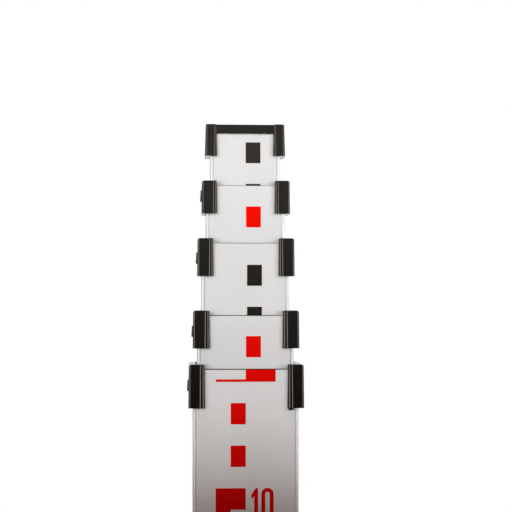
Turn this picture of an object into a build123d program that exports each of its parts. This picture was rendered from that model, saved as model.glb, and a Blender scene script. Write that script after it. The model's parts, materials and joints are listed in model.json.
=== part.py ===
from build123d import *
from math import radians, tan
import os

# Telescopic levelling staff, closed for carrying.
#
# Five aluminium tubes slide in one another. A black plastic collar is screwed round the top of each
# of the lower four, open at the front so that the printed scale shows, and a cap closes the fifth.
# Each sliding tube carries a floor plug, a bush that stops it under the collar above, and a leaf
# spring with a lock pin. At full height the pin drops into a hole of the tube around it, and the
# push button in that tube's collar pushes it out again.
#
# Millimetres. +Z runs up the staff, the printed face looks towards -Y and the push buttons are on
# -X. The origin is the middle of the foot's underside, where the printed scale starts.

# Tubes: section 1 is the outermost
section_count = 5
sections = range(1, section_count + 1)
sliding_sections = range(2, section_count + 1)
collared_sections = range(1, section_count)
outer_width = 50.0
outer_depth = 29.0
nest_step = 4.1  # each tube is this much narrower and shallower than the one around it
wall = 1.0
rim_width = 1.1  # raised border at each side of the printed face
rim_height = 0.35
rim_groove = 0.6  # groove that parts each border from the printed face
rim_groove_depth = 0.3
front_radius = 0.5
back_radius = 2.8
cavity_front_radius = 0.5

# Heights of the section tops when closed, and what the scale reads there
first_top = 1105.7
closed_rises = (25.4, 34.5, 27.7, 29.85)
scale_tops = (1105.7, 1999.6, 3000.2, 3999.9, 4998.73)

# Foot
plate_thickness = 3.0
shoe_floor = 3.0
shoe_wall = 2.6
shoe_top = 18.0
shoe_radius = 3.0
shoe_edge = 0.4
plate_margin = 0.6
plate_radius = 2.5
plate_screw_spread = 32.0
plate_screw_head_radius = 3.6
plate_screw_radius = 1.9
plate_screw_recess = 0.2
plate_screw_length = 5.4
countersink_angle = 90.0

# Floor plugs and slide bushes of the sliding sections
plug_floor = 2.5
plug_height = 20.0
stack_gap = 0.2
running_gap = 0.2
bush_height = 26.0
bush_slot_width = 7.2
stop_gap = 0.2

# Collars and the cap on top
collar_heights = (20.6, 17.9, 18.1, 15.9)
collar_side = 2.19
collar_shift = 0.3  # the wall with the button is this much thinner, the other one thicker
collar_back = 2.6
collar_flange = 2.5
collar_draft = 0.6  # degrees by which a collar widens downwards
collar_front_radius = 1.0
collar_back_radius = 2.6
collar_edge = 0.6
collar_corner = 1.3  # upper corners as seen from the front
profile_margin = 0.03
lip_thickness = 0.5
lip_reaches = (5.4, 5.6, 5.3, 5.0)  # how far the lips cover the printed face
bead_radii = (1.5, 1.47, 1.25, 1.15)
bead_rise = 0.6  # how far the bead stands in front of the lip
bead_tail = 0.9  # how far the lowest collar's right bead reaches below its lip
bead_taper = 6.0
web_heights = (0.38, 0.31, 0.21, 0.17)  # thin webs that join the lips, on the tubes' ends
web_set_back = 0.4
guide_gap = 0.28
guide_side_gap = 0.75
passage_radius = 0.4
lead_in = 0.45
lead_in_at_lips = 0.15
lead_in_angle = 45.0
cap_height = 15.35
cap_plate = 2.0
cap_side = 2.1
cap_lip_reach = 3.0
cap_flare = 1.6  # degrees by which the cap widens downwards
cap_edge = 0.5
cap_bar_height = 4.6
cap_bar_drop = 0.3  # how far the bar's top lies below the ears'
cap_bar_thickness = 0.45
cap_bead_radius = 0.6
cap_bead_rise = 0.25

# Push buttons in the collars
button_rises = (-0.2, -1.05, -0.25, 0.9)  # how far each sits above its collar's middle
button_width = 9.0
button_height = 5.4
button_radius = 1.2
button_gap = 0.15
button_high = 0.75  # how far the button's lower edge stands out of the collar
button_low = 0.5  # the same at its upper edge
button_edge = 0.35
button_flange_width = 11.0
button_flange_height = 7.4
button_flange = 0.4
button_pocket_gap = 0.2
button_pocket_depth = 1.45
button_rest_gap = 0.05
stem_radius = 1.8
stem_reach = 0.27  # how far the stem stands in the tube's wall
button_spring_width = 10.6
button_spring_height = 6.0
button_spring_steel = 0.22
button_spring_bow = 0.68
button_spring_hole = 2.3
button_spring_gap = 0.02

# Locks on the sliding tubes
lock_hole_radius = 2.4
pin_radius = 2.1
pin_height = 0.66
pin_edge = 0.25
pin_tail_radius = 1.0
leaf_steel = 0.3
leaf_width = 6.0
leaf_length = 42.0
leaf_end_radius = 2.0
leaf_over_pin = 3.1
rivet_radius = 1.2
rivet_head_radius = 1.8
rivet_head = 0.4
rivet_from_end = (5.0, 13.0)
fastener_clearance = 0.03

# Pan-head screws of the collars, the cap and the shoe
screw_head_radius = 2.6
screw_head = 1.7
screw_head_edge = 0.6
screw_radius = 1.45
screw_tip_gap = 0.05
screw_seat_radius = 2.9
screw_seat_gap = 0.02
cross_width = 0.8
cross_length = 3.0
cross_depth = 0.9

# Printed scale
ink = 0.08
column = 7.07  # half the width of an E
decimetre = 100.0
metre = 1000.0
block = 10.0
block_starts = (60.0, 80.0)
arm_starts = (0.0, 20.0, 40.0)
stem_height = 50.0
line_height = 1.15
digit_height = 30.0
digit_width = 5.75
digit_stroke = 1.77
digit_gap = 1.6
digit_bend = 1.85
one_flag = ((-0.2, 0.0), (-2.3, 3.2), (-2.05, 5.1))  # corners: x, and drop below the digit's top
one_root = 3.7  # drop at which the flag meets the stem
number_centre = 7.88
print_start = 18.5
print_offsets = (0.0, 0.2, 0.8, 0.4, 0.3)  # how far each print sits to the right of the middle

os.makedirs("parts", exist_ok=True)


def save(piece, name):
    """Labels a finished piece and writes it under the same name."""
    piece.part.label = name
    export_step(piece.part, f"parts/{name}.step")


# Sizes and levels of one section
def width(k):
    return outer_width - nest_step * (k - 1)


def depth(k):
    return outer_depth - nest_step * (k - 1)


def closed_top(k):
    return first_top + sum(closed_rises[: k - 1])


def tube_top(k):
    return closed_top(k) - (cap_plate if k == section_count else 0.0)


def tube_bottom(k):
    return plate_thickness + shoe_floor + (stack_gap + plug_floor) * (k - 1)


def travel(k):
    """How far section k slides out of the one around it, so that the scale runs on unbroken."""
    return scale_tops[k - 1] - scale_tops[k - 2] - closed_rises[k - 2]


def collar_top(k):
    return tube_top(k) + collar_flange


def button_level(k):
    return collar_top(k) - collar_heights[k - 1] / 2 + button_rises[k - 1]


def draft_growth(drop):
    """How far a collar's walls have moved outwards at this distance below its top."""
    return drop * tan(radians(collar_draft))


def pin_level(k):
    """Level of section k's lock pin while closed: full travel below its button."""
    return button_level(k - 1) - travel(k)


def rivet_levels(k):
    leaf_bottom = pin_level(k) + leaf_over_pin - leaf_length
    return [leaf_bottom + start for start in rivet_from_end]


# Outlines across the staff
def rounded_outline(x_size, y_low, y_high, low_radius, high_radius):
    """Rectangle about the middle plane, with one radius at the front and one at the back."""
    with BuildSketch() as outline:
        with Locations((0, (y_low + y_high) / 2)):
            Rectangle(x_size, y_high - y_low)
        fillet(outline.vertices().group_by(Axis.Y)[0], low_radius)
        fillet(outline.vertices().group_by(Axis.Y)[-1], high_radius)
    return outline.sketch


def tube_outline(k):
    """Outside of tube k: the printed face lies between two low rims."""
    half = depth(k) / 2
    with BuildSketch() as outline:
        add(rounded_outline(width(k), -half, half, front_radius, back_radius))
        with Locations((0, -half)):
            Rectangle(width(k) - 2 * rim_width, 2 * rim_height, mode=Mode.SUBTRACT)
    return outline.sketch


def cavity_outline(k, inset=0.0):
    """Inside of tube k, drawn in by inset for what slides there."""
    half = depth(k) / 2
    return rounded_outline(
        width(k) - 2 * wall - 2 * inset,
        -half + wall + rim_height + inset,
        half - wall - inset,
        cavity_front_radius,
        back_radius - wall,
    )


def passage_outline(k, side_gap=0.0, gap=0.0, radius=passage_radius):
    """Opening that tube k fits, its back corners tighter than the tube's."""
    half = depth(k) / 2 + gap
    return rounded_outline(width(k) + 2 * side_gap, -half, half, radius, radius)


def groove_places(k):
    x = width(k) / 2 - rim_width - rim_groove / 2
    return [(-x, -depth(k) / 2), (x, -depth(k) / 2)]


def lip_centres(k, reach, radius, rise):
    x = width(k) / 2 - reach + radius
    y = -depth(k) / 2 - lip_thickness - rise + radius
    return [(-x, y), (x, y)]


def clasp_outline(k, side, reach, radius, rise):
    """Side and back walls round tube k with a beaded lip over each edge of its printed face."""
    half = depth(k) / 2
    with BuildSketch() as outline:
        add(
            rounded_outline(
                width(k) + 2 * side,
                -half - lip_thickness,
                half + collar_back,
                collar_front_radius,
                collar_back_radius,
            )
        )
        with Locations((0, -half)):
            Rectangle(width(k) - 2 * (reach - radius), 2 * nest_step, mode=Mode.SUBTRACT)
        with Locations(*lip_centres(k, reach, radius, rise)):
            Circle(radius)
            with Locations((0, nest_step)):
                Rectangle(2 * radius, 2 * nest_step)
    return outline.sketch


# Fasteners
def screw_planes_at_back(k, level):
    """Planes on the back of the wall round tube k, looking out of it."""
    y = depth(k) / 2 + collar_back
    places = [(-width(k) / 4, y, level), (width(k) / 4, y, level)]
    return [Plane(origin=place, x_dir=(1, 0, 0), z_dir=(0, 1, 0)) for place in places]


def shoe_screw_planes():
    x = width(1) / 2 + shoe_wall
    level = (plate_thickness + shoe_floor + shoe_top) / 2
    return [
        Plane(origin=(side * x, 0, level), x_dir=(0, 1, 0), z_dir=(side, 0, 0)) for side in (-1, 1)
    ]


def pan_screw(grip):
    """Pan head with a cross slot on the ground plane, and a shank that ends just inside grip."""
    with BuildPart() as screw:
        with BuildSketch():
            Circle(screw_head_radius)
        extrude(amount=screw_head)
        fillet(screw.edges().group_by(Axis.Z)[-1], screw_head_edge)
        with BuildSketch(Plane.XY.offset(screw_head)):
            Rectangle(cross_length, cross_width)
            Rectangle(cross_width, cross_length)
        extrude(amount=-cross_depth, mode=Mode.SUBTRACT)
        with BuildSketch():
            Circle(screw_radius)
        extrude(amount=-(grip - screw_tip_gap))
    return screw.part


def make_screws(name, planes, grip):
    with BuildPart() as screws:
        with Locations(*planes):
            add(pan_screw(grip))
    save(screws, name)


# Tubes
def make_tube(k):
    side = Plane.YZ.offset(-width(k) / 2)
    with BuildPart() as tube:
        with BuildSketch(Plane.XY.offset(tube_bottom(k))):
            add(tube_outline(k))
            with Locations(*groove_places(k)):
                Rectangle(rim_groove, 2 * (rim_height + rim_groove_depth), mode=Mode.SUBTRACT)
            add(cavity_outline(k), mode=Mode.SUBTRACT)
        extrude(amount=tube_top(k) - tube_bottom(k))
        if k in collared_sections:
            with BuildSketch(side):
                with Locations((0, button_level(k))):
                    Circle(lock_hole_radius)
            extrude(amount=2 * wall, both=True, mode=Mode.SUBTRACT)
        if k in sliding_sections:
            with BuildSketch(side):
                with Locations(*[(0, level) for level in rivet_levels(k)]):
                    Circle(rivet_radius + fastener_clearance)
            extrude(amount=2 * wall, both=True, mode=Mode.SUBTRACT)
        with Locations(*tube_screw_planes(k)):
            Hole(screw_radius + fastener_clearance, 2 * collar_back)
        if k == 1:
            with Locations(*shoe_screw_planes()):
                Hole(screw_radius + fastener_clearance, 2 * shoe_wall)
    save(tube, f"section_{k}_tube")


def tube_screw_planes(k):
    """Where the screws of tube k's collar or cap come through."""
    if k == section_count:
        return screw_planes_at_back(k, closed_top(k) - cap_height / 2)
    return screw_planes_at_back(k, button_level(k))


# Foot
def make_foot():
    half = depth(1) / 2 + shoe_wall
    floor = plate_thickness + shoe_floor
    screw_places = [(-plate_screw_spread / 2, 0), (plate_screw_spread / 2, 0)]

    with BuildPart() as shoe:
        with BuildSketch(Plane.XY.offset(plate_thickness)):
            add(rounded_outline(width(1) + 2 * shoe_wall, -half, half, shoe_radius, shoe_radius))
        extrude(amount=shoe_top - plate_thickness)
        fillet(shoe.edges().group_by(Axis.Z)[-1], shoe_edge)
        with BuildSketch(Plane.XY.offset(floor)):
            add(passage_outline(1))
        extrude(amount=shoe_top, mode=Mode.SUBTRACT)
        with BuildSketch(Plane.XY.offset(plate_thickness)):
            with Locations(*screw_places):
                Circle(plate_screw_radius + fastener_clearance)
        extrude(amount=shoe_floor, mode=Mode.SUBTRACT)
        with Locations(*shoe_screw_planes()):
            Hole(screw_radius + fastener_clearance, 2 * shoe_wall)
    save(shoe, "base_shoe")

    with BuildPart() as plate:
        with BuildSketch():
            add(
                rounded_outline(
                    width(1) + 2 * (shoe_wall - plate_margin),
                    -half + plate_margin,
                    half - plate_margin,
                    plate_radius,
                    plate_radius,
                )
            )
        extrude(amount=plate_thickness)
        with Locations(Plane.XY.rotated((180, 0, 0))):
            with Locations(*screw_places):
                CounterSinkHole(
                    plate_screw_radius + fastener_clearance,
                    plate_screw_head_radius + plate_screw_recess + fastener_clearance,
                    counter_sink_angle=countersink_angle,
                )
    save(plate, "base_plate")

    cone = plate_screw_head_radius - plate_screw_radius
    with BuildPart() as screws:
        for x, y in screw_places:
            with BuildSketch(Plane.XZ.offset(-y)):
                with BuildLine():
                    Polyline(
                        (x, plate_screw_recess),
                        (x + plate_screw_head_radius, plate_screw_recess),
                        (x + plate_screw_radius, plate_screw_recess + cone),
                        (x + plate_screw_radius, plate_screw_recess + plate_screw_length),
                        (x, plate_screw_recess + plate_screw_length),
                        close=True,
                    )
                make_face()
            revolve(axis=Axis((x, y, 0), (0, 0, 1)))
        with BuildSketch(Plane.XY.offset(plate_screw_recess)):
            with Locations(*screw_places):
                Rectangle(cross_length, cross_width)
                Rectangle(cross_width, cross_length)
        extrude(amount=cross_depth, mode=Mode.SUBTRACT)
    save(screws, "base_plate_screws")

    make_screws("shoe_screws", shoe_screw_planes(), shoe_wall + wall)


# Collars
def collar_profile(k):
    """Front view of collar k: drafted sides and rounded upper corners."""
    top = collar_top(k)
    height = collar_heights[k - 1]
    half_top = width(k) / 2 + collar_side + profile_margin
    half_low = half_top + draft_growth(height)
    corners = [(-half_low, top - height), (half_low, top - height), (half_top, top), (-half_top, top)]
    with BuildSketch() as profile:
        with BuildLine():
            Polyline(*corners, close=True)
        make_face()
        fillet(profile.vertices().group_by(Axis.Y)[-1], collar_corner)
    return profile.sketch


def make_collar(k):
    height = collar_heights[k - 1]
    bottom = collar_top(k) - height
    reach = lip_reaches[k - 1]
    radius = bead_radii[k - 1]
    with BuildPart() as collar:
        with BuildSketch(Plane.XY.offset(collar_top(k))):
            with Locations((collar_shift, 0)):
                add(clasp_outline(k, collar_side, reach, radius, bead_rise))
        extrude(amount=-height, taper=-collar_draft)
        fillet(collar.edges().group_by(Axis.Z)[-1], collar_edge)
        with BuildSketch(Plane.XZ):
            with Locations((collar_shift, 0)):
                add(collar_profile(k))
        extrude(amount=outer_depth, both=True, mode=Mode.INTERSECT)
        if k == 1:
            with BuildSketch(Plane.XY.offset(bottom + bead_tail)):
                with Locations((collar_shift, 0)):
                    with Locations(lip_centres(k, reach, radius, bead_rise)[-1]):
                        Circle(radius)
            extrude(amount=-2 * bead_tail, taper=bead_taper)
        with BuildSketch(Plane.XY.offset(tube_top(k))):
            with Locations((0, web_set_back - depth(k) / 2)):
                Rectangle(width(k), nest_step, align=(Align.CENTER, Align.MIN))
        extrude(amount=web_heights[k - 1])
        with BuildSketch(Plane.XY.offset(bottom - bead_tail)):
            add(passage_outline(k))
        extrude(amount=tube_top(k) - bottom + bead_tail, mode=Mode.SUBTRACT)
        with BuildSketch(Plane.XY.offset(bottom)):
            add(passage_outline(k, lead_in, lead_in_at_lips, passage_radius + lead_in))
        extrude(amount=lead_in, taper=lead_in_angle, mode=Mode.SUBTRACT)
        with BuildSketch(Plane.XY.offset(tube_top(k))):
            add(passage_outline(k + 1, guide_side_gap, guide_gap))
        extrude(amount=collar_flange, mode=Mode.SUBTRACT)
        inner_face = Plane.YZ.offset(-width(k) / 2)
        with BuildSketch(inner_face):
            with Locations((0, button_level(k))):
                Rectangle(
                    button_flange_width + 2 * button_pocket_gap,
                    button_flange_height + 2 * button_pocket_gap,
                )
        extrude(amount=-button_pocket_depth, mode=Mode.SUBTRACT)
        with BuildSketch(inner_face):
            with Locations((0, button_level(k))):
                RectangleRounded(
                    button_width + 2 * button_gap,
                    button_height + 2 * button_gap,
                    button_radius + button_gap,
                )
        extrude(amount=-2 * collar_side, mode=Mode.SUBTRACT)
        with Locations(*tube_screw_planes(k)):
            CounterBoreHole(
                screw_radius + fastener_clearance,
                screw_seat_radius,
                screw_seat_gap,
                2 * collar_back,
            )
    save(collar, f"collar_{k}")
    make_screws(f"collar_{k}_screws", tube_screw_planes(k), collar_back + wall)


def make_top_cap():
    k = section_count
    half = depth(k) / 2
    top = closed_top(k)
    with BuildPart() as cap:
        with BuildSketch(Plane.XY.offset(top)):
            add(clasp_outline(k, cap_side, cap_lip_reach, cap_bead_radius, cap_bead_rise))
        extrude(amount=-cap_height, taper=-cap_flare)
        fillet(cap.edges().group_by(Axis.Z)[-1], cap_edge)
        with BuildSketch(Plane.XY.offset(top - cap_bar_height)):
            with Locations((0, -half - cap_bar_thickness / 2)):
                Rectangle(width(k), cap_bar_thickness)
        extrude(amount=cap_bar_height - cap_bar_drop)
        with BuildSketch(Plane.XY.offset(top - cap_plate)):
            Rectangle(width(k), depth(k))
        extrude(amount=cap_plate - cap_bar_drop)
        with BuildSketch(Plane.XY.offset(top - cap_plate)):
            add(passage_outline(k))
        extrude(amount=-cap_height, mode=Mode.SUBTRACT)
        with Locations(*tube_screw_planes(k)):
            CounterBoreHole(
                screw_radius + fastener_clearance,
                screw_seat_radius,
                screw_seat_gap,
                2 * collar_back,
            )
    save(cap, "top_cap")
    make_screws("top_cap_screws", tube_screw_planes(k), collar_back + wall)


# Push buttons
def make_button(k):
    level = button_level(k)
    tube_face = -width(k) / 2
    flange_face = tube_face - button_pocket_depth + button_rest_gap + button_flange
    collar_face = tube_face - collar_side - draft_growth(collar_top(k) - level) + collar_shift
    lean = Plane(
        origin=(collar_face - (button_high + button_low) / 2, 0, level),
        x_dir=(0, 1, 0),
        z_dir=(-button_height, 0, -(button_low - button_high)),
    )
    with BuildPart() as button:
        with BuildSketch(Plane.YZ.offset(flange_face)):
            with Locations((0, level)):
                RectangleRounded(button_width, button_height, button_radius)
        extrude(amount=-2 * collar_side)
        split(bisect_by=lean, keep=Keep.BOTTOM)
        fillet(button.faces().sort_by(Axis.X)[0].edges(), button_edge)
        with BuildSketch(Plane.YZ.offset(flange_face)):
            with Locations((0, level)):
                Rectangle(button_flange_width, button_flange_height)
        extrude(amount=-button_flange)
        with BuildSketch(Plane.YZ.offset(flange_face)):
            with Locations((0, level)):
                Circle(stem_radius)
        extrude(amount=tube_face + stem_reach - flange_face)
    save(button, f"lock_button_{k}")

    start = tube_face - button_spring_gap
    end = button_spring_width / 2
    with BuildPart() as spring:
        with BuildSketch(Plane.XY.offset(level - button_spring_height / 2)):
            with BuildLine():
                ThreePointArc((start, -end), (start - button_spring_bow, 0), (start, end))
                Line((start, end), (start - button_spring_steel, end))
                ThreePointArc(
                    (start - button_spring_steel, end),
                    (start - button_spring_steel - button_spring_bow, 0),
                    (start - button_spring_steel, -end),
                )
                Line((start - button_spring_steel, -end), (start, -end))
            make_face()
        extrude(amount=button_spring_height)
        with BuildSketch(Plane.YZ.offset(start)):
            with Locations((0, level)):
                Circle(button_spring_hole)
        extrude(amount=-collar_side, mode=Mode.SUBTRACT)
    save(spring, f"button_spring_{k}")


# Pieces at the lower end of each sliding section
def make_floor_plug(k):
    low = tube_bottom(k) - plug_floor
    with BuildPart() as plug:
        with BuildSketch(Plane.XY.offset(low)):
            add(cavity_outline(k - 1, running_gap))
        extrude(amount=plug_height)
        with BuildSketch(Plane.XY.offset(tube_bottom(k))):
            add(tube_outline(k))
        extrude(amount=plug_height, mode=Mode.SUBTRACT)
    save(plug, f"floor_plug_{k}")


def make_slide_bush(k):
    top = tube_top(k - 1) - stop_gap - travel(k)
    low = top - bush_height
    slot_top = pin_level(k) + leaf_over_pin + running_gap
    with BuildPart() as bush:
        with BuildSketch(Plane.XY.offset(low)):
            add(cavity_outline(k - 1, running_gap))
            add(tube_outline(k), mode=Mode.SUBTRACT)
        extrude(amount=bush_height)
        with BuildSketch(Plane.YZ.offset(-width(k) / 2)):
            with Locations((0, (low + slot_top) / 2)):
                Rectangle(bush_slot_width, slot_top - low)
        extrude(amount=-nest_step, mode=Mode.SUBTRACT)
    save(bush, f"slide_bush_{k}")


def make_lock(k):
    tube_face = Plane.YZ.offset(-width(k) / 2)
    leaf_face = tube_face.offset(-leaf_steel)
    pin = pin_level(k)
    rivets = [(0, level) for level in rivet_levels(k)]

    with BuildPart() as leaf:
        with BuildSketch(tube_face):
            with Locations((0, pin + leaf_over_pin - leaf_length / 2)):
                RectangleRounded(leaf_width, leaf_length, leaf_end_radius)
            with Locations(*rivets):
                Circle(rivet_radius + fastener_clearance, mode=Mode.SUBTRACT)
            with Locations((0, pin)):
                Circle(pin_tail_radius + fastener_clearance, mode=Mode.SUBTRACT)
        extrude(amount=-leaf_steel)
    save(leaf, f"leaf_spring_{k}")

    with BuildPart() as lock_pin:
        with BuildSketch(leaf_face):
            with Locations((0, pin)):
                Circle(pin_radius)
        extrude(amount=-pin_height)
        fillet(lock_pin.faces().sort_by(Axis.X)[0].edges(), pin_edge)
        with BuildSketch(leaf_face):
            with Locations((0, pin)):
                Circle(pin_tail_radius)
        extrude(amount=leaf_steel)
    save(lock_pin, f"lock_pin_{k}")

    with BuildPart() as spring_rivets:
        with BuildSketch(leaf_face):
            with Locations(*rivets):
                Circle(rivet_head_radius)
        extrude(amount=-rivet_head)
        with BuildSketch(leaf_face):
            with Locations(*rivets):
                Circle(rivet_radius)
        extrude(amount=leaf_steel + wall - screw_tip_gap)
    save(spring_rivets, f"spring_rivets_{k}")


# Printed scale
def decimetre_mark(side):
    """E, two blocks and the decimetre line: the E on one side of the middle, the line opposite."""
    with BuildSketch() as mark:
        with Locations((side * 1.5 * column, stem_height / 2)):
            Rectangle(column, stem_height)
        with Locations(*[(side * column / 2, start + block / 2) for start in arm_starts]):
            Rectangle(column, block)
        with Locations(*[(side * column / 2, start + block / 2) for start in block_starts]):
            Rectangle(column, block)
        with Locations((-side * column, line_height / 2)):
            Rectangle(2 * column, line_height)
    return mark.sketch


# Middle lines of the digits: x in half widths, height from 0 to 1, sharp or with rounded bends
digit_lines = {
    "0": [("loop", (-1, 0), (1, 0), (1, 1), (-1, 1))],
    "2": [("bend", (-1, 0.8), (-1, 1), (1, 1), (1, 0.6)), ("sharp", (1, 0.6), (-1, 0), (1, 0))],
    "3": [
        ("bend", (-1, 0.8), (-1, 1), (1, 1), (1, 0.53), (-0.3, 0.53)),
        ("bend", (-0.3, 0.53), (1, 0.53), (1, 0), (-1, 0), (-1, 0.2)),
    ],
    "4": [("sharp", (0.45, 0), (0.45, 1)), ("sharp", (0.45, 0.99), (-1, 0.3), (1, 0.3))],
    "5": [
        ("sharp", (1, 1), (-1, 1), (-1, 0.58)),
        ("bend", (-1, 0.58), (1, 0.58), (1, 0), (-1, 0), (-1, 0.2)),
    ],
    "6": [("bend", (1, 0.8), (1, 1), (-1, 1), (-1, 0), (1, 0), (1, 0.58), (-1, 0.58))],
    "7": [("sharp", (-1, 1), (1, 1), (-0.35, 0))],
    "8": [
        ("loop", (-1, 0), (1, 0), (1, 0.53), (-1, 0.53)),
        ("loop", (-1, 0.53), (1, 0.53), (1, 1), (-1, 1)),
    ],
    "9": [("bend", (-1, 0.2), (-1, 0), (1, 0), (1, 1), (-1, 1), (-1, 0.42), (1, 0.42))],
}


def digit_place(point):
    half = (digit_width - digit_stroke) / 2
    return (point[0] * half, digit_stroke / 2 + point[1] * (digit_height - digit_stroke))


def make_digit(character):
    """One tall narrow digit of even stroke, standing on the sketch's x axis."""
    with BuildSketch() as digit:
        if character == "1":
            half = digit_stroke / 2
            flag = [(x, digit_height - drop) for x, drop in one_flag]
            stem = [(-half, 0), (half, 0), (half, digit_height)]
            with BuildLine():
                Polyline(*stem, *flag, (-half, digit_height - one_root), close=True)
            make_face()
        else:
            for style, *points in digit_lines[character]:
                places = [digit_place(point) for point in points]
                with BuildLine():
                    if style == "sharp":
                        Polyline(*places)
                    else:
                        FilletPolyline(*places, radius=digit_bend, close=style == "loop")
                trace(line_width=digit_stroke)
    return digit.sketch


digits = {character: make_digit(character) for character in "0123456789"}


def digit_span(character):
    box = digits[character].bounding_box()
    return box.min.X, box.max.X


def number_places(number, side):
    """Where the digits of a number stand, centred in the half of the face beside the E."""
    spans = [digit_span(character) for character in str(number)]
    total = sum(high - low for low, high in spans) + digit_gap * (len(spans) - 1)
    x = -side * number_centre - total / 2
    places = []
    for low, high in spans:
        places.append(x - low)
        x += high - low + digit_gap
    return places


def make_scale(k, name, first, last, low, high):
    """Decimetres first to last on section k, cut off at the readings low and high."""
    zero = closed_top(k) - scale_tops[k - 1]
    middle = print_offsets[k - 1]
    face = Plane.XZ.offset(depth(k) / 2 - rim_height)
    with BuildPart() as marks:
        with BuildSketch(face):
            for number in range(first, last + 1):
                start = zero + number * decimetre
                side = 1 if number % 2 else -1
                with Locations((middle, start)):
                    add(decimetre_mark(side))
                if number:
                    bottom = start + stem_height - digit_height
                    for character, x in zip(str(number), number_places(number, side)):
                        with Locations((middle + x, bottom)):
                            add(digits[character])
            with Locations((0, zero + (low + high) / 2)):
                Rectangle(width(k), high - low, mode=Mode.INTERSECT)
        extrude(amount=ink)
    save(marks, name)


make_foot()
for section in sections:
    make_tube(section)
for section in collared_sections:
    make_collar(section)
    make_button(section)
for section in sliding_sections:
    make_floor_plug(section)
    make_slide_bush(section)
    make_lock(section)
make_top_cap()

make_scale(1, "scale_1_black", 0, 9, print_start, metre)
make_scale(1, "scale_1_red", 10, 11, metre, scale_tops[0])
make_scale(2, "scale_2_red", 11, 19, scale_tops[0], 2 * metre)
make_scale(3, "scale_3_black", 20, 29, scale_tops[1], 3 * metre)
make_scale(4, "scale_4_red", 30, 39, scale_tops[2], 4 * metre)
make_scale(5, "scale_5_black", 40, 49, scale_tops[3], 5 * metre)
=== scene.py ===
# %% [markdown]
# # Dressing a telescopic levelling staff
#
# The staff arrives as a frame of finished solids: five tubes that slide in one another, their
# collars, locks, cap and foot. Nothing of that is moved here. Each step below gives one kind of
# surface its finish, adds what the solids leave out or can't do, and then sets up a small studio
# round the upper end of the closed staff.

# %% Load the frame
import json
import math

import bpy
import numpy as np
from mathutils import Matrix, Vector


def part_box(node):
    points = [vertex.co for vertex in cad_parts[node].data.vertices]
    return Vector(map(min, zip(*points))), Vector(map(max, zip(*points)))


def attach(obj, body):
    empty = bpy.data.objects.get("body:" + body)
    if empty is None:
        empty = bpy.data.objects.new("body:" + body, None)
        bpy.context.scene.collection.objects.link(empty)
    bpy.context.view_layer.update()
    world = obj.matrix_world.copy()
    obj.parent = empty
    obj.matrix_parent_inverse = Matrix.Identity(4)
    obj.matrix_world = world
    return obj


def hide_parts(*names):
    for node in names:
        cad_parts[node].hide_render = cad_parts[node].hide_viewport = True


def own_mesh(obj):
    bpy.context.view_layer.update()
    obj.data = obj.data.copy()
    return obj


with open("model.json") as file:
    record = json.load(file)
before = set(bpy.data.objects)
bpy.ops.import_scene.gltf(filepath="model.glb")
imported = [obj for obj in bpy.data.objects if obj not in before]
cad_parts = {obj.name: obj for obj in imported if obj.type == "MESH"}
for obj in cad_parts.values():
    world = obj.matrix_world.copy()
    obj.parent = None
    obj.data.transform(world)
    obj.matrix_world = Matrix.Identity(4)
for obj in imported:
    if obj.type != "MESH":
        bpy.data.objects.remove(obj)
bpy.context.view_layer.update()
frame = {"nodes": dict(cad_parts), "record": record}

nodes = frame["nodes"]
record = frame["record"]

# %% [markdown]
# ## Shader maths as plain expressions
#
# A finish is a small sum: a base tone, plus a grain, minus some wear. Wiring that by hand hides the
# sum in a web of nodes, so one class wraps a socket and lets ordinary arithmetic add the nodes.
# Colours go through Mix nodes instead, because a Math node would turn them grey.

# %% A socket that can be added, multiplied and mixed


class Wire:
    """One output socket of a shader tree. Arithmetic on it adds Math nodes to that tree."""

    def __init__(self, tree, socket=None):
        self.tree = tree
        self.socket = socket

    def node(self, kind, settings, sockets, out=0):
        """Adds any node: first its settings, then the values or links of its sockets."""
        made = self.tree.nodes.new(f"ShaderNode{kind}")
        for name, value in settings.items():
            if name == "stops":
                ramp = made.color_ramp.elements
                while len(ramp) < len(value):
                    ramp.new(1.0)
                for stop, (position, tone) in zip(ramp, value):
                    stop.position = position
                    stop.color = (tone, tone, tone, 1.0)
            else:
                setattr(made, name, value)
        for key, value in sockets.items():
            if isinstance(value, Wire):
                self.tree.links.new(value.socket, made.inputs[key])
            else:
                made.inputs[key].default_value = value
        return Wire(self.tree, made.outputs[out] if made.outputs else None)

    def math(self, operation, *values):
        return self.node("Math", {"operation": operation}, dict(enumerate(values)))

    def __add__(self, other):
        return self.math("ADD", self, other)

    def __sub__(self, other):
        return self.math("SUBTRACT", self, other)

    def __rsub__(self, other):
        return self.math("SUBTRACT", other, self)

    def __mul__(self, other):
        return self.math("MULTIPLY", self, other)

    __radd__ = __add__
    __rmul__ = __mul__

    def mix(self, low, high):
        """The colour low where this value is 0 and high where it is 1."""
        colours = {6: (*low, 1.0), 7: (*high, 1.0)}
        return self.node("Mix", {"data_type": "RGBA"}, {0: self, **colours}, out=2)

    def step(self, start, end):
        """0 below start, 1 above end, with a smooth slope between them."""
        sockets = {"Value": self, "From Min": start, "From Max": end}
        return self.node("MapRange", {"interpolation_type": "SMOOTHSTEP"}, sockets)


print("shader maths ready")

# %% [markdown]
# ## Helpers shared by all finishes
#
# Every finish reads Object coordinates. The solids keep their place in their meshes, so those
# coordinates are metres along the staff, and a grain keeps its real size on every piece. Grain that
# runs along the staff is an ordinary noise, squeezed across and drawn out lengthwise.

# %% Noise in millimetres, and the shader that takes it
MM = 0.001
WHITE = (1.0, 1.0, 1.0, 1.0)
finishes = {}


def new_finish(name):
    """An empty material, and a wire into its tree."""
    material = bpy.data.materials.new(name)
    material.use_nodes = True
    material.node_tree.nodes.clear()
    return material, Wire(material.node_tree)


def place(wire):
    """Object coordinates: metres in the staff's own frame."""
    return wire.node("TexCoord", {}, {}, out="Object")


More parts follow.
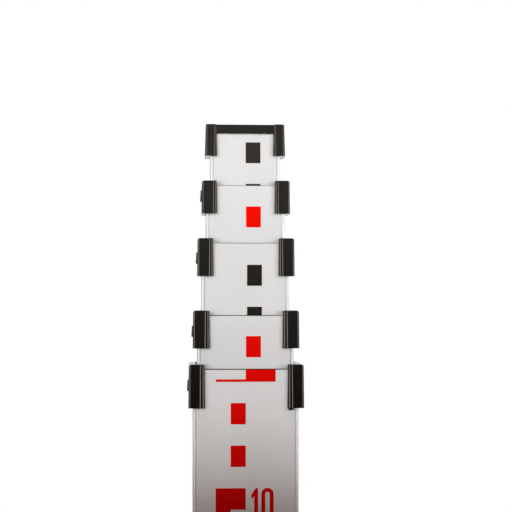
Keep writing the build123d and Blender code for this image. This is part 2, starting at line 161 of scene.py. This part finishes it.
def coordinate(wire, axis):
    """One of the Object coordinates."""
    return wire.node("SeparateXYZ", {}, {0: place(wire)}, out=axis)


def grain(wire, size, detail=2.0, drawn_out=(1.0, 1.0, 1.0)):
    """Noise from 0 to 1 with lumps of about size metres, stretched along each axis by drawn_out."""
    scale = tuple(1.0 / (size * stretch) for stretch in drawn_out)
    spread = wire.node("VectorMath", {"operation": "MULTIPLY"}, {0: place(wire), 1: scale})
    return wire.node("TexNoise", {}, {"Vector": spread, "Scale": 1.0, "Detail": detail})


def close_finish(wire, colour, roughness, height, depth, fixed):
    """A Principled shader with plain values from fixed and a bump of that depth from height."""
    relief = {"Height": height, "Distance": depth, "Strength": 1.0}
    bump = wire.node("Bump", {}, relief, out="Normal")
    look = {"Base Color": colour, "Roughness": roughness, "Normal": bump}
    shader = wire.node("BsdfPrincipled", {}, {**fixed, **look})
    wire.node("OutputMaterial", {}, {"Surface": shader})


def keep_finish(slot, material):
    """Files the material under the slot that names it in the record."""
    finishes[slot] = material
    print(f"{slot}: {material.name}, {len(material.node_tree.nodes)} nodes")


print("finish helpers ready")

# %% [markdown]
# ## Satin anodised aluminium
#
# The tubes are pressed through a die, which leaves fine lines along their length, and are then
# etched and anodised, which makes them pale, slightly cloudy and only half shiny. A brushed-metal
# picture would do for one view; here the lines are noise drawn out along Z, so they follow the
# tubes from end to end and stay in place when a section slides.
#
# Two rims border each printed face, with a groove beside each. Painted light lifts the rims, as a
# painted highlight, and the rest of each groove, against its own shade. The inner half of the
# grooves is painted darker, as painted shade, less of it on the upper tubes, where the light is
# brighter.
# The front left edge is painted darker too, as painted shade on the rounded corner. Every tube is
# the same step smaller both ways, so |x| + y has the same values at the front corners of all five,
# and y
# repeats with that step: a few masks find the rims of all tubes.

# %% Masks of the rims
outermost, next_inside = (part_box(f"section_{k}_tube")[0] for k in (1, 2))
NEST_STEP = next_inside.y - outermost.y
CORNER_SUM = outermost.y - outermost.x
DROP_ZERO = 0.05 * MM - outermost.y
RIM_DROP = (0.15 * MM, 0.30 * MM)
GROOVE_DROP = (0.45 * MM, 0.60 * MM)
GROOVE_END = (0.85 * MM, 1.00 * MM)
RIM_SPAN = 1.15 * MM
GROOVE_MIDDLE = 0.75 * MM
EDGE_SPAN = 0.45 * MM
EDGE_SHADE_SPAN = 4.0 * MM
SOFT = 0.1 * MM
CORNER_SOFT = 0.02 * MM
BEFORE_ZERO = (-1.0 * MM, 0.0)
# Levels over which the painted shade in the grooves fades out towards the brighter upper tubes.
SHADE_END_LEVELS = (1.12, 1.19)


def rim_masks(wire):
    """1 on painted light, 1 on painted shade in the grooves, 1 on painted shade at the left edge.

    corner is |x| + y, and drop is how far a point lies behind the front of its tube's rims.
    """
    x, y, level = (coordinate(wire, axis) for axis in "XYZ")
    corner = wire.math("ABSOLUTE", x) + y
    beside = corner.step(CORNER_SUM - RIM_SPAN, CORNER_SUM - RIM_SPAN + SOFT)
    front = beside * (1.0 - corner.step(CORNER_SUM - CORNER_SOFT, CORNER_SUM))
    drop = wire.math("MODULO", y + DROP_ZERO, NEST_STEP)
    rim = front * (1.0 - drop.step(*RIM_DROP))
    groove = front * drop.step(*GROOVE_DROP) * (1.0 - drop.step(*GROOVE_END))
    middle = CORNER_SUM - GROOVE_MIDDLE
    outer_half = corner.step(middle - SOFT / 2, middle + SOFT / 2)
    # Painted shade: the inner half of each groove is painted darker, less of it higher up.
    shaded_half = (1.0 - outer_half) * (1.0 - level.step(*SHADE_END_LEVELS))
    # Painted shade on the front left corner of each tube and the side next to it.
    edge = corner.step(CORNER_SUM - EDGE_SPAN, CORNER_SUM - EDGE_SPAN + SOFT)
    fading = 1.0 - corner.step(CORNER_SUM + EDGE_SPAN, CORNER_SUM + EDGE_SHADE_SPAN)
    edge_shade = edge * fading * (1.0 - x.step(*BEFORE_ZERO)) * (1.0 - y.step(*BEFORE_ZERO))
    # The first mask is painted light: a painted highlight on the rims, and painted light in the
    # grooves against their own shade.
    return rim * (1.0 - edge_shade) + groove * (1.0 - shaded_half), groove * shaded_half, edge_shade


print(f"tubes: step {NEST_STEP / MM:.3f} mm, |x| + y at the corners {CORNER_SUM / MM:.3f} mm")

# %% Aluminium finish
DULL_METAL, PALE_METAL = (0.600, 0.593, 0.584), (0.980, 0.974, 0.962)
PLAIN, CLOUDING = 0.57, 0.065
# Strengths of the painted light on rims and grooves, the painted shade in the grooves and the
# painted shade at the left edge.
RIM_LIGHT, GROOVE_SHADE_DEPTH, EDGE_SHADE_DEPTH = 0.43, 0.38, 0.46


def satin_aluminium():
    material, wire = new_finish("satin_anodised_aluminium")
    # Masks of painted light, of painted shade in the grooves and of painted shade at the left edge.
    bright, groove_shade, edge_shade = rim_masks(wire)
    lines = grain(wire, 0.35 * MM, detail=3.0, drawn_out=(1.0, 1.0, 900.0))
    bands = grain(wire, 4.0 * MM, detail=2.0, drawn_out=(1.0, 1.0, 120.0))
    clouds = grain(wire, 22.0 * MM, detail=3.0, drawn_out=(1.0, 1.0, 2.5))
    rubs = grain(wire, 1.2 * MM, detail=4.0, drawn_out=(1.0, 1.0, 14.0)).step(0.62, 0.80)
    tone = (0.45 * clouds + 0.35 * bands + 0.20 * lines).step(0.30, 0.72)
    # The clouding is the metal's own tone; the rest is painted light and painted shade on rims,
    # grooves and the left edge.
    tone_and_painted_light = CLOUDING * tone + PLAIN + RIM_LIGHT * bright - GROOVE_SHADE_DEPTH * groove_shade - EDGE_SHADE_DEPTH * edge_shade
    colour = tone_and_painted_light.mix(DULL_METAL, PALE_METAL)
    roughness = 0.36 + 0.10 * lines + 0.06 * clouds - 0.08 * rubs
    height = 0.6 * lines + 0.3 * bands + 0.1 * clouds
    close_finish(wire, colour, roughness, height, 0.008 * MM, {"Metallic": 0.10, "IOR": 1.5})
    return material


keep_finish("anodised_aluminium", satin_aluminium())

# %% [markdown]
# ## Black moulded plastic
#
# Collars, cap and shoe come out of a spark-eroded mould: a deep black with a fine leathery grain
# that is a little glossier where hands and other sections have polished it. The buttons are the
# same plastic from a smoother mould, and the plugs and bushes inside are a plain grey grade.

# %% Plastic finishes
PLASTIC_IOR = 1.46
WARM_GLOSS = (1.0, 0.91, 0.83, 1.0)


def moulded_plastic(name, dark, light, gloss, grain_depth):
    material, wire = new_finish(name)
    pebbles = grain(wire, 0.45 * MM, detail=2.0)
    flow = grain(wire, 9.0 * MM, detail=3.0)
    polish = grain(wire, 3.0 * MM, detail=3.0).step(0.45, 0.75)
    colour = (0.6 * flow + 0.4 * pebbles).step(0.25, 0.75).mix(dark, light)
    roughness = gloss + 0.06 * pebbles - 0.05 * polish
    fixed = {"IOR": PLASTIC_IOR, "Specular Tint": WARM_GLOSS}
    close_finish(wire, colour, roughness, pebbles, grain_depth, fixed)
    return material


black, worn_black = (0.0026, 0.0020, 0.0013), (0.0042, 0.0033, 0.0024)
keep_finish("black_plastic", moulded_plastic("moulded_black", black, worn_black, 0.13, 0.001 * MM))
soot, worn_soot = (0.0034, 0.0032, 0.0029), (0.0050, 0.0047, 0.0043)
keep_finish("button_plastic", moulded_plastic("moulded_button", soot, worn_soot, 0.19, 0.001 * MM))
grey, pale_grey = (0.36, 0.37, 0.38), (0.44, 0.45, 0.46)
keep_finish("grey_plastic", moulded_plastic("moulded_grey", grey, pale_grey, 0.42, 0.012 * MM))

# %% [markdown]
# ## Steel: zinc plate and blued spring strip
#
# Screws, lock pins and the sole are zinc plated, a bright bluish grey with a crystalline bloom. The
# springs are hardened strip, darker and straw-blue from tempering. Both are one function: a metal
# whose tone and roughness wander, because plating and tempering never come out even.

# %% Steel finishes


def plated_steel(name, dull, bright, roughness_middle):
    material, wire = new_finish(name)
    bloom = grain(wire, 1.6 * MM, detail=4.0)
    stains = grain(wire, 7.0 * MM, detail=3.0)
    polish_lines = grain(wire, 0.25 * MM, detail=2.0, drawn_out=(1.0, 12.0, 1.0))
    colour = (0.5 * bloom + 0.5 * stains).step(0.3, 0.7).mix(dull, bright)
    roughness = roughness_middle + 0.14 * (bloom - 0.5) + 0.08 * polish_lines
    height = 0.6 * polish_lines + 0.4 * bloom
    close_finish(wire, colour, roughness, height, 0.008 * MM, {"Metallic": 1.0})
    return material


zinc, bright_zinc = (0.50, 0.51, 0.52), (0.66, 0.67, 0.67)
keep_finish("zinc_steel", plated_steel("zinc_plate", zinc, bright_zinc, 0.34))
blued, straw = (0.20, 0.21, 0.25), (0.36, 0.34, 0.33)
keep_finish("spring_steel", plated_steel("blued_strip", blued, straw, 0.30))

# %% [markdown]
# ## Screen-printed ink
#
# The scale is printed through a mesh: an even, nearly matt film that is a touch thinner here and
# there, with the faint lines of the metal showing through. The film stands up as real geometry, so
# the finish only needs its own small unevenness, and painted light: the red is painted paler
# towards the upper sections, where the light is brighter, and the black is painted paler on the
# topmost one alone.

# %% Ink finishes
PALING, THINNING = 0.88, 0.12


def printed_ink(name, deep, pale, pale_levels, gloss):
    material, wire = new_finish(name)
    level = coordinate(wire, "Z")
    cover = grain(wire, 2.4 * MM, detail=3.0)
    mesh_marks = grain(wire, 0.18 * MM, detail=1.0)
    metal_lines = grain(wire, 0.35 * MM, detail=2.0, drawn_out=(1.0, 1.0, 600.0))
    film = (0.6 * cover + 0.2 * mesh_marks + 0.2 * metal_lines).step(0.25, 0.6)
    # Painted light: the ink is painted paler above pale_levels, where the light is brighter; the
    # film's unevenness is its own.
    colour = (PALING * level.step(*pale_levels) + THINNING * film).mix(deep, pale)
    roughness = 0.34 + 0.08 * mesh_marks + 0.06 * cover
    height = 0.7 * mesh_marks + 0.3 * metal_lines
    close_finish(wire, colour, roughness, height, 0.006 * MM, {"Specular IOR Level": gloss})
    return material


# The second colour of each ink is its painted-lighter tone for the upper levels.
coal, painted_light_coal = (0.0145, 0.0120, 0.0090), (0.0370, 0.0280, 0.0225)
keep_finish("black_ink", printed_ink("black_print", coal, painted_light_coal, (1.187, 1.198), 0.10))
red, painted_light_red = (0.70, 0.0019, 0.0002), (0.94, 0.0030, 0.0003)
keep_finish("red_ink", printed_ink("red_print", red, painted_light_red, (1.060, 1.150), 0.03))

# %% Dress the frame
slot_of = {row["node"]: row["material_slot"] for row in record["subparts"]}
for name, node in nodes.items():
    node.data.materials.clear()
    node.data.materials.append(finishes[slot_of[name]])
print("dressed:", {slot: list(slot_of.values()).count(slot) for slot in finishes})

# %% [markdown]
# ## The millimetre scale on the back
#
# Staffs of this kind carry a plain millimetre scale on the back for reading close up. It is a film
# of ink a twentieth of a millimetre thick. Ticks are flat bars, computed all at once. Digits are
# strokes: a middle line with a ribbon carried along it. Making them as geometry keeps them sharp
# in a close view and lets each section's print ride on its own tube.

# %% Bars: many flat boxes from arrays of their limits
FILM = 0.05 * MM
BOX_FACES = np.array(
    [[0, 1, 3, 2], [4, 6, 7, 5], [0, 4, 5, 1], [2, 3, 7, 6], [0, 2, 6, 4], [1, 5, 7, 3]]
)


def bars(low_x, high_x, low_z, high_z, back):
    """Boxes from (low_x, low_z) to (high_x, high_z), lying on the plane y = back, FILM thick.

    Corner i of a box takes its x, y and z limits from the three binary digits of i.
    """
    count = len(low_z)
    bits = (np.arange(8)[:, None] >> np.array([2, 1, 0])) & 1
    low = np.stack([np.broadcast_to(low_x, count), np.full(count, back), low_z], axis=1)
    high = np.stack([np.broadcast_to(high_x, count), np.full(count, back + FILM), high_z], axis=1)
    corners = low[:, None, :] + bits[None, :, :] * (high - low)[:, None, :]
    faces = BOX_FACES[None, :, :] + 8 * np.arange(count)[:, None, None]
    return corners.reshape(-1, 3), faces.reshape(-1, 4)


points, faces = bars(0.0, MM, np.zeros(1), np.full(1, MM), 0.0)
print("one bar:", len(points), "points,", len(faces), "faces")

# %% Digits: middle lines in a box one unit wide and two high
DIGIT_LINES = {
    "0": [(0.5, 0), (0, 0), (0, 2), (1, 2), (1, 0), (0.5, 0)],
    "1": [(0.15, 1.55), (0.6, 2), (0.6, 0)],
    "2": [(0, 1.55), (0, 2), (1, 2), (1, 1.2), (0, 0), (1, 0)],
    "3": [(0, 2), (1, 2), (0.35, 1.2), (1, 1.15), (1, 0), (0, 0), (0, 0.3)],
    "4": [(0.75, 0), (0.75, 2), (0, 0.6), (1.05, 0.6)],
    "5": [(1, 2), (0, 2), (0, 1.15), (1, 1.15), (1, 0), (0, 0), (0, 0.3)],
    "6": [(0.9, 2), (0, 1.6), (0, 0), (1, 0), (1, 1.1), (0, 1.1), (0, 0.7)],
    "7": [(0, 2), (1, 2), (0.35, 0)],
    "8": [(0.5, 1.05), (0, 1.05), (0, 2), (1, 2), (1, 1.05)]
    + [(0, 1.05), (0, 0), (1, 0), (1, 1.05), (0.5, 1.05)],
    "9": [(0.1, 0), (1, 0.4), (1, 2), (0, 2), (0, 0.9), (1, 0.9), (1, 1.3)],
}
SHARP_DIGITS = "147"
CORNER_ROUNDS = 3
STROKE_HALF = 0.16
DIGIT_PITCH = 0.72
LONGEST_MITRE = 2.0
TINY = 1e-9


def middle_line(character):
    """The digit's middle line. Each round of corner cutting keeps points at 1/4 and 3/4 of runs."""
    line = np.array(DIGIT_LINES[character], float)
    for _ in range(0 if character in SHARP_DIGITS else CORNER_ROUNDS):
        start, end = line[:-1], line[1:]
        cut = np.stack([0.75 * start + 0.25 * end, 0.25 * start + 0.75 * end], axis=1)
        line = np.concatenate([line[:1], cut.reshape(-1, 2), line[-1:]])
    return line


def ribbon(line, half_width):
    """Points half_width to each side of the line, square to it, mitred where it bends."""
    runs = np.diff(line, axis=0)
    runs /= np.linalg.norm(runs, axis=1)[:, None]
    before = np.concatenate([runs[:1], runs])
    after = np.concatenate([runs, runs[-1:]])
    heading = before + after
    heading /= np.maximum(np.linalg.norm(heading, axis=1), TINY)[:, None]
    mitre = 1.0 / np.maximum((heading * after).sum(axis=1), TINY)
    reach = half_width * np.clip(mitre, 1.0, LONGEST_MITRE)[:, None]
    side = np.stack([-heading[:, 1], heading[:, 0]], axis=1) * reach
    return line + side, line - side


print("digits:", {c: len(middle_line(c)) for c in DIGIT_LINES})

# %% A number as one film of ink


def digit_film(character, x, z, height, back):
    """One digit standing at (x, z) as seen from behind, where x runs to the left."""
    left, right = ribbon(middle_line(character), STROKE_HALF)
    count = len(left)
    flat = np.concatenate([left, right]) * height / 2
    points = np.stack([x - flat[:, 0], np.full(2 * count, back), z + flat[:, 1]], axis=1)
    points = np.concatenate([points, points + np.array([0, FILM, 0])])
    i = np.arange(count - 1)
    top = np.stack([i, i + 1, i + 1 + count, i + count], axis=1) + 2 * count
    under = np.stack([i, i + count, i + 1 + count, i + 1], axis=1)
    left_wall = np.stack([i, i + 1, i + 1 + 2 * count, i + 2 * count], axis=1)
    right_wall = np.stack([i + count, i + 3 * count, i + 1 + 3 * count, i + 1 + count], axis=1)
    first_end = np.array([0, 2, 3, 1]) * count
    last_end = np.array([1, 2, 4, 3]) * count - 1
    ends = np.stack([first_end, last_end])
    return points, np.concatenate([top, under, left_wall, right_wall, ends])


def number_films(text, x, z, height, back):
    """The digits of a number side by side, the first one leftmost as seen from behind."""
    pitch, bottom = DIGIT_PITCH * height, z - height / 2
    return [digit_film(c, x - i * pitch, bottom, height, back) for i, c in enumerate(text)]


print("digit faces:", {c: len(digit_film(c, 0.0, 0.0, MM, 0.0)[1]) for c in DIGIT_LINES})

# %% Join films into one piece that rides on its tube


def new_object(name, points, faces, material):
    """A mesh object at the origin."""
    mesh = bpy.data.meshes.new(name)
    mesh.from_pydata(points, [], faces.tolist())
    mesh.materials.append(material)
    made = bpy.data.objects.new(name, mesh)
    bpy.context.scene.collection.objects.link(made)
    return made


def add_piece(name, points, faces, slot, body):
    """A mesh with the finish of that slot, riding on that body."""
    piece = new_object(name, points, faces, finishes[slot])
    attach(piece, body)
    return piece


def add_print(name, films, slot, body):
    """One piece from several closed films."""
    starts = np.cumsum([0] + [len(points) for points, _ in films[:-1]])
    points = np.concatenate([points for points, _ in films])
    faces = np.concatenate([faces + start for (_, faces), start in zip(films, starts)])
    add_piece(name, points, faces, slot, body)
    return len(faces)


print("piece helpers ready")

# %% Where each back scale starts, ends and reads zero
SECTION_COUNT = 5
PRINT_MARGIN = 2.0 * MM
TICK_START = 10.5 * MM
TICK_WIDTH = 0.28 * MM
MM_TICK, HALF_TICK, CM_TICK = 3.0 * MM, 4.5 * MM, 6.0 * MM
CM_HEIGHT = 4.2 * MM
CM_START = 2.6 * MM
DM_HEIGHT = 9.0 * MM
DM_START = -4.6 * MM
LAST_BLOCK = 10.0 * MM


def back_limits(k):
    """Lowest and highest level of section k's print, clear of its bush or shoe and its collar."""
    below = "base_shoe" if k == 1 else f"slide_bush_{k}"
    above = "top_cap" if k == SECTION_COUNT else f"collar_{k}"
    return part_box(below)[1].z + PRINT_MARGIN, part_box(above)[0].z - PRINT_MARGIN


def reading_zero(k):
    """Level where section k's scale would read zero: its last block ends a centimetre below k m."""
    if k == 1:
        return 0.0
    ink = "black" if k % 2 else "red"
    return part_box(f"scale_{k}_{ink}")[1].z - (k - LAST_BLOCK)


print("zero levels:", [round(reading_zero(k), 4) for k in range(1, SECTION_COUNT + 1)])

# %% Print the back scales
for k in range(1, SECTION_COUNT + 1):
    low, high = back_limits(k)
    zero = reading_zero(k)
    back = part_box(f"section_{k}_tube")[1].y
    marks = np.arange(math.ceil((low - zero) / MM), math.floor((high - zero) / MM) + 1)
    levels = zero + marks * MM
    lengths = np.select([marks % 10 == 0, marks % 5 == 0], [CM_TICK, HALF_TICK], MM_TICK)
    under, over = levels - TICK_WIDTH / 2, levels + TICK_WIDTH / 2
    black_films = [bars(TICK_START - lengths, TICK_START, under, over, back)]
    red_films = []
    for mark, level in zip(marks, levels):
        if mark % 100 == 0 and low + DM_HEIGHT < level < high - DM_HEIGHT:
            red_films += number_films(f"{mark // 100}", DM_START, level, DM_HEIGHT, back)
        if mark % 10 == 0 and low + CM_HEIGHT < level < high - CM_HEIGHT:
            centimetres = f"{mark // 10 % 100:02d}"
            black_films += number_films(centimetres, CM_START, level, CM_HEIGHT, back)
    faces = add_print(f"back_scale_{k}_black", black_films, "black_ink", f"section_{k}")
    faces += add_print(f"back_scale_{k}_red", red_films, "red_ink", f"section_{k}")
    print(f"back scale {k}: {len(marks)} ticks, {faces} faces, {low:.3f} to {high:.3f} m")

# %% [markdown]
# ## Bow springs behind the buttons
#
# Behind each button a bowed strip of spring steel, with a hole for the button's stem, pushes the
# button out again. A solid can't flatten, so each spring is made here as a thin skin of the same
# form, riding on its section in place of the hidden solid. The script works out how far a press
# would
# flatten it, but doesn't flatten it. Rows and columns don't fit a strip with a round hole. Rings
# do:
# they start at the hole and grow into the strip's rectangle.

# %% A bowed strip with a hole
SPRING_STEEL = 0.22 * MM
SPRING_HOLE = 2.3 * MM
SPRING_RINGS = 7
SPRING_SPOKES = 72


def between(ring, next_ring):
    """Quads from each point of a closed ring to the same point of the next ring."""
    corners = [ring, next_ring, np.roll(next_ring, -1), np.roll(ring, -1)]
    return np.stack(corners, axis=-1).reshape(-1, 4)


def bow_spring(low, high):
    """Points and quads of a bow that fills the box from low to high.

    At angle a, rings go from the hole's radius to the rectangle's edge, which is reached at the
    smaller of half_y / |cos a| and half_z / |sin a|. The strip's inner skin is the bow
    x = high.x - bow (1 - (y / half_y)^2).
    """
    half_y, half_z = (high.y - low.y) / 2, (high.z - low.z) / 2
    corner = math.atan2(half_z, half_y)
    corners = [corner, math.pi - corner, math.pi + corner, 2 * math.pi - corner]
    spokes = np.arange(SPRING_SPOKES) * 2 * math.pi / SPRING_SPOKES
    angles = np.sort(np.concatenate([spokes, corners]))
    across, up = np.cos(angles), np.sin(angles)
    to_side = half_y / np.maximum(abs(across), TINY)
    to_end = half_z / np.maximum(abs(up), TINY)
    share = np.linspace(0, 1, SPRING_RINGS)[:, None]
    radius = (1 - share) * SPRING_HOLE + share * np.minimum(to_side, to_end)
    y, z = radius * across, radius * up
    bow = high.x - low.x - SPRING_STEEL
    x = high.x - bow * (1 - (y / half_y) ** 2)
    middle = (low + high) / 2
    skins = [(x - depth, middle.y + y, middle.z + z) for depth in (0, SPRING_STEEL)]
    points = np.stack([np.stack(skin, axis=-1) for skin in skins])
    inner, outer = np.arange(points.size // 3).reshape(points.shape[:3])
    faces = [between(inner[i], inner[i + 1]) for i in range(SPRING_RINGS - 1)]
    faces += [between(outer[i + 1], outer[i]) for i in range(SPRING_RINGS - 1)]
    faces += [between(outer[0], inner[0]), between(inner[-1], outer[-1])]
    return points.reshape(-1, 3), np.concatenate(faces)


print("bow springs:", SPRING_RINGS, "rings with", SPRING_SPOKES, "spokes and 4 corners")

# %% Springs on their sections, and how far a press would flatten them
SPRING_SLACK = 1.03
press_of = {joint["name"]: joint["range_m"][1] for joint in record["behaviour"]["joints"]}
for k in range(1, SECTION_COUNT):
    low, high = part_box(f"button_spring_{k}")
    points, faces = bow_spring(low, high)
    spring = add_piece(f"bow_spring_{k}", points, faces, "spring_steel", f"section_{k}")
    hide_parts(f"button_spring_{k}")
    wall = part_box(f"section_{k}_tube")[0].x
    left_over = 1 - SPRING_SLACK * press_of[f"button_{k}_press"] / (wall - low.x)
    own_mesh(spring)
    print(f"spring {k}: {len(faces)} faces, pressed to {left_over:.2f} of its depth")

# %% [markdown]
# ## Floor
#
# The staff stands on a pale floor that takes its shadow. Far from the foot the floor melts into the
# white of the room: a Mix Shader goes from a painted surface to plain white as the distance grows.
# A real floor of that size would throw light up the staff from below. This one is pale only where
# the camera looks at it, so the staff keeps the darker underside of its lighting.

# %% Floor
FLOOR_HALF = 4.0
FLOOR_FADE = (0.5, 2.2)
FLOOR_BOUNCE = 0.12
SHEET_FACE = np.array([[0, 1, 2, 3]])


def pale_floor():
    material, wire = new_finish("pale_floor")
    distance = wire.node("VectorMath", {"operation": "LENGTH"}, {0: place(wire)}, out="Value")
    speckle = grain(wire, 3.0 * MM, detail=2.0)
    paint = speckle.step(0.3, 0.7).mix((0.86, 0.86, 0.85), (0.90, 0.90, 0.89))
    seen = wire.node("LightPath", {}, {}, out="Is Camera Ray")
    dim = (FLOOR_BOUNCE, FLOOR_BOUNCE, FLOOR_BOUNCE, 1.0)
    colour = wire.node("Mix", {"data_type": "RGBA"}, {0: seen, 6: dim, 7: paint}, out=2)
    painted = wire.node("BsdfPrincipled", {}, {"Base Color": colour, "Roughness": 0.7})
    glow = FLOOR_BOUNCE + (1.0 - FLOOR_BOUNCE) * seen
    white = wire.node("Emission", {}, {"Color": WHITE, "Strength": glow})
    fade = distance.step(*FLOOR_FADE)
    blend = wire.node("MixShader", {}, {0: fade, 1: painted, 2: white})
    wire.node("OutputMaterial", {}, {"Surface": blend})
    return material


square = np.array([[-1, -1, 0], [1, -1, 0], [1, 1, 0], [-1, 1, 0]])
floor = new_object("floor", square * FLOOR_HALF, SHEET_FACE, pale_floor())
print("floor:", 2 * FLOOR_HALF, "m square")

# %% [markdown]
# ## Lamp for the floor
#
# A lamp straight above keeps the floor pale and gives the staff its shadow there, and hardly
# touches upright faces. It is a sun, so a staff drawn out to five metres is lit as evenly as a
# closed one. Gloss doesn't see it, because a real studio has no bare lamp over the subject.

# %% Lamp
CEILING_STRENGTH = 1.2
CEILING_DISC = 20.0
lamp = bpy.data.lights.new("ceiling", "SUN")
lamp.energy = CEILING_STRENGTH
lamp.angle = math.radians(CEILING_DISC)
ceiling = bpy.data.objects.new("ceiling", lamp)
ceiling.visible_glossy = False
bpy.context.scene.collection.objects.link(ceiling)

# %% [markdown]
# ## A net before the upper sections
#
# The light falls off down the staff. A photographer does that with a net: gauze on a frame, close
# in front of the subject, denser towards the lowest collar and below it. Under the picture it thins
# out again, so a view of the whole staff shows no hard end, and it is just wide enough for the
# printed face, so the sides stay clear. Here it is a sheet that the camera and reflections don't
# see. A ramp of its density over the height mixes clear with amber gauze.

# %% The net
NET_GAP = 0.020
NET_HALF = 0.065
NET_LOW, NET_HIGH = 0.85, 1.24
NET_STOPS = (
    (0.860, 0.00),
    (0.930, 0.10),
    (0.970, 0.28),
    (1.000, 0.60),
    (1.020, 0.90),
    (1.035, 0.98),
    (1.045, 0.85),
    (1.060, 0.62),
    (1.075, 0.48),
    (1.090, 0.32),
    (1.105, 0.25),
    (1.120, 0.31),
    (1.135, 0.14),
    (1.165, 0.12),
    (1.180, 0.07),
    (1.225, 0.00),
)
AMBER = (0.09, 0.03, 0.02, 1.0)


def gauze():
    material, wire = new_finish("gauze")
    share = (coordinate(wire, "Z") - NET_LOW) * (1.0 / (NET_HIGH - NET_LOW))
    stops = [((z - NET_LOW) / (NET_HIGH - NET_LOW), density) for z, density in NET_STOPS]
    density = wire.node("ValToRGB", {"stops": stops}, {0: share})
    clear = wire.node("BsdfTransparent", {}, {"Color": WHITE})
    amber = wire.node("BsdfTransparent", {}, {"Color": AMBER})
    blend = wire.node("MixShader", {}, {0: density, 1: clear, 2: amber})
    wire.node("OutputMaterial", {}, {"Surface": blend})
    return material


net_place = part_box("section_1_tube")[0].y - NET_GAP
net_corners = ((-1, NET_LOW), (1, NET_LOW), (1, NET_HIGH), (-1, NET_HIGH))
sheet = np.array([(side * NET_HALF, net_place, z) for side, z in net_corners])
net = new_object("net", sheet, SHEET_FACE, gauze())
net.visible_camera = False
net.visible_glossy = False
net.visible_transmission = False
print("net:", NET_LOW, "to", NET_HIGH, "m")

# %% [markdown]
# ## The room
#
# The staff is lit by two tall softboxes, one at each side of the camera. They draw the two bright
# lines along each bead of the collars, and each has a hot spot a little above the camera's height.
# Panels of that height are bright bands of the world here: the share of a direction that points
# across a panel's middle tells how far it is from that middle. Between them the room is dim and
# grows brighter upwards in two soft steps, and the flat black fronts of the collars mirror a part
# of that. The camera sees pure white behind the staff. All other rays see white only straight
# behind it, which lights up the tops and undersides of the collars at a glancing angle.

# %% Helpers for bright bands
SOFTBOXES = ((-47, 14, 7.7), (53, 13, 7.5))  # azimuth and half width in degrees, strength
PANEL_SLOPE = 0.03
PANEL_ENDS, PANEL_END_SLOPE = (-0.25, 0.50), 0.08
HOT_SPOT, HOT_SPOT_SLOPE = (0.03, 0.06), 0.035
room = bpy.data.worlds.new("studio")
room.use_nodes = True
room.node_tree.nodes.clear()
air = Wire(room.node_tree)
looking = air.node("TexCoord", {}, {}, out="Generated")
looking_back = air.node("SeparateXYZ", {}, {0: looking}, out="Y")
looking_up = air.node("SeparateXYZ", {}, {0: looking}, out="Z")


def along(direction):
    """Share of the looking direction along that direction, from -1 to 1."""
    sockets = {0: looking, 1: direction}
    return air.node("VectorMath", {"operation": "DOT_PRODUCT"}, sockets, out="Value")


def band(value, low, high, slope):
    """1 between low and high, falling to 0 within slope outside of them."""
    return value.step(low - slope, low) * (1.0 - value.step(high, high + slope))


def softbox(azimuth, half_width, strength):
    """An upright panel at that azimuth in degrees: 0 is straight before the staff, + is right."""
    turn = math.radians(azimuth)
    edge = math.sin(math.radians(half_width))
    across = band(along((math.cos(turn), math.sin(turn), 0.0)), -edge, edge, PANEL_SLOPE)
    ahead = along((math.sin(turn), -math.cos(turn), 0.0)).step(0.0, 0.1)
    upright = band(looking_up, *PANEL_ENDS, PANEL_END_SLOPE)
    hot_spot = band(looking_up, *HOT_SPOT, HOT_SPOT_SLOPE)
    tone = 0.68 + 0.30 * hot_spot - 0.14 * looking_up.step(0.07, 0.11)
    return strength * across * ahead * upright * tone


print("softboxes:", SOFTBOXES)

# %% World
camera_ray = air.node("LightPath", {}, {}, out="Is Camera Ray")
low_step = 0.31 * looking_up.step(-0.06, 0.0)
high_step = 0.44 * looking_up.step(0.05, 0.09)
overhead = 0.50 * looking_up.step(0.25, 0.60)
front = 0.01 + low_step + high_step - overhead
back = 0.45 + 0.55 * looking_back.step(0.70, 0.92)
dim = front + looking_back.step(-0.10, 0.50) * (back - front)
light = dim + softbox(*SOFTBOXES[0]) + softbox(*SOFTBOXES[1])
strength = light + camera_ray * (1.0 - light)
background = air.node("Background", {}, {"Color": WHITE, "Strength": strength})
air.node("OutputWorld", {}, {"Surface": background})
bpy.context.scene.world = room
print("world:", len(room.node_tree.nodes), "nodes")

# %% [markdown]
# ## Camera
#
# The picture is taken from close by, just above the height of the second collar and three
# centimetres left of the staff's middle, with a long lens, looking slightly up. Fitting the printed
# centimetres, which are their own ruler, gave the place.

# %% Camera
IMAGE_WIDTH = 512
FOCAL_PIXELS = 1344.0
SENSOR = 36.0
CAMERA_PLACE = (-0.0280, -0.6500, 1.1389)
CAMERA_RISE = 1.85
CAMERA_TURN = -2.957
camera_data = bpy.data.cameras.new("camera")
camera_data.sensor_width = SENSOR
camera_data.lens = FOCAL_PIXELS / IMAGE_WIDTH * SENSOR
camera = bpy.data.objects.new("camera", camera_data)
camera.location = CAMERA_PLACE
camera.rotation_euler = (math.radians(90 + CAMERA_RISE), 0, math.radians(CAMERA_TURN))
bpy.context.scene.collection.objects.link(camera)
bpy.context.scene.camera = camera
bpy.context.scene.view_settings.view_transform = "Standard"
print("camera:", tuple(camera.location), "lens", camera_data.lens)
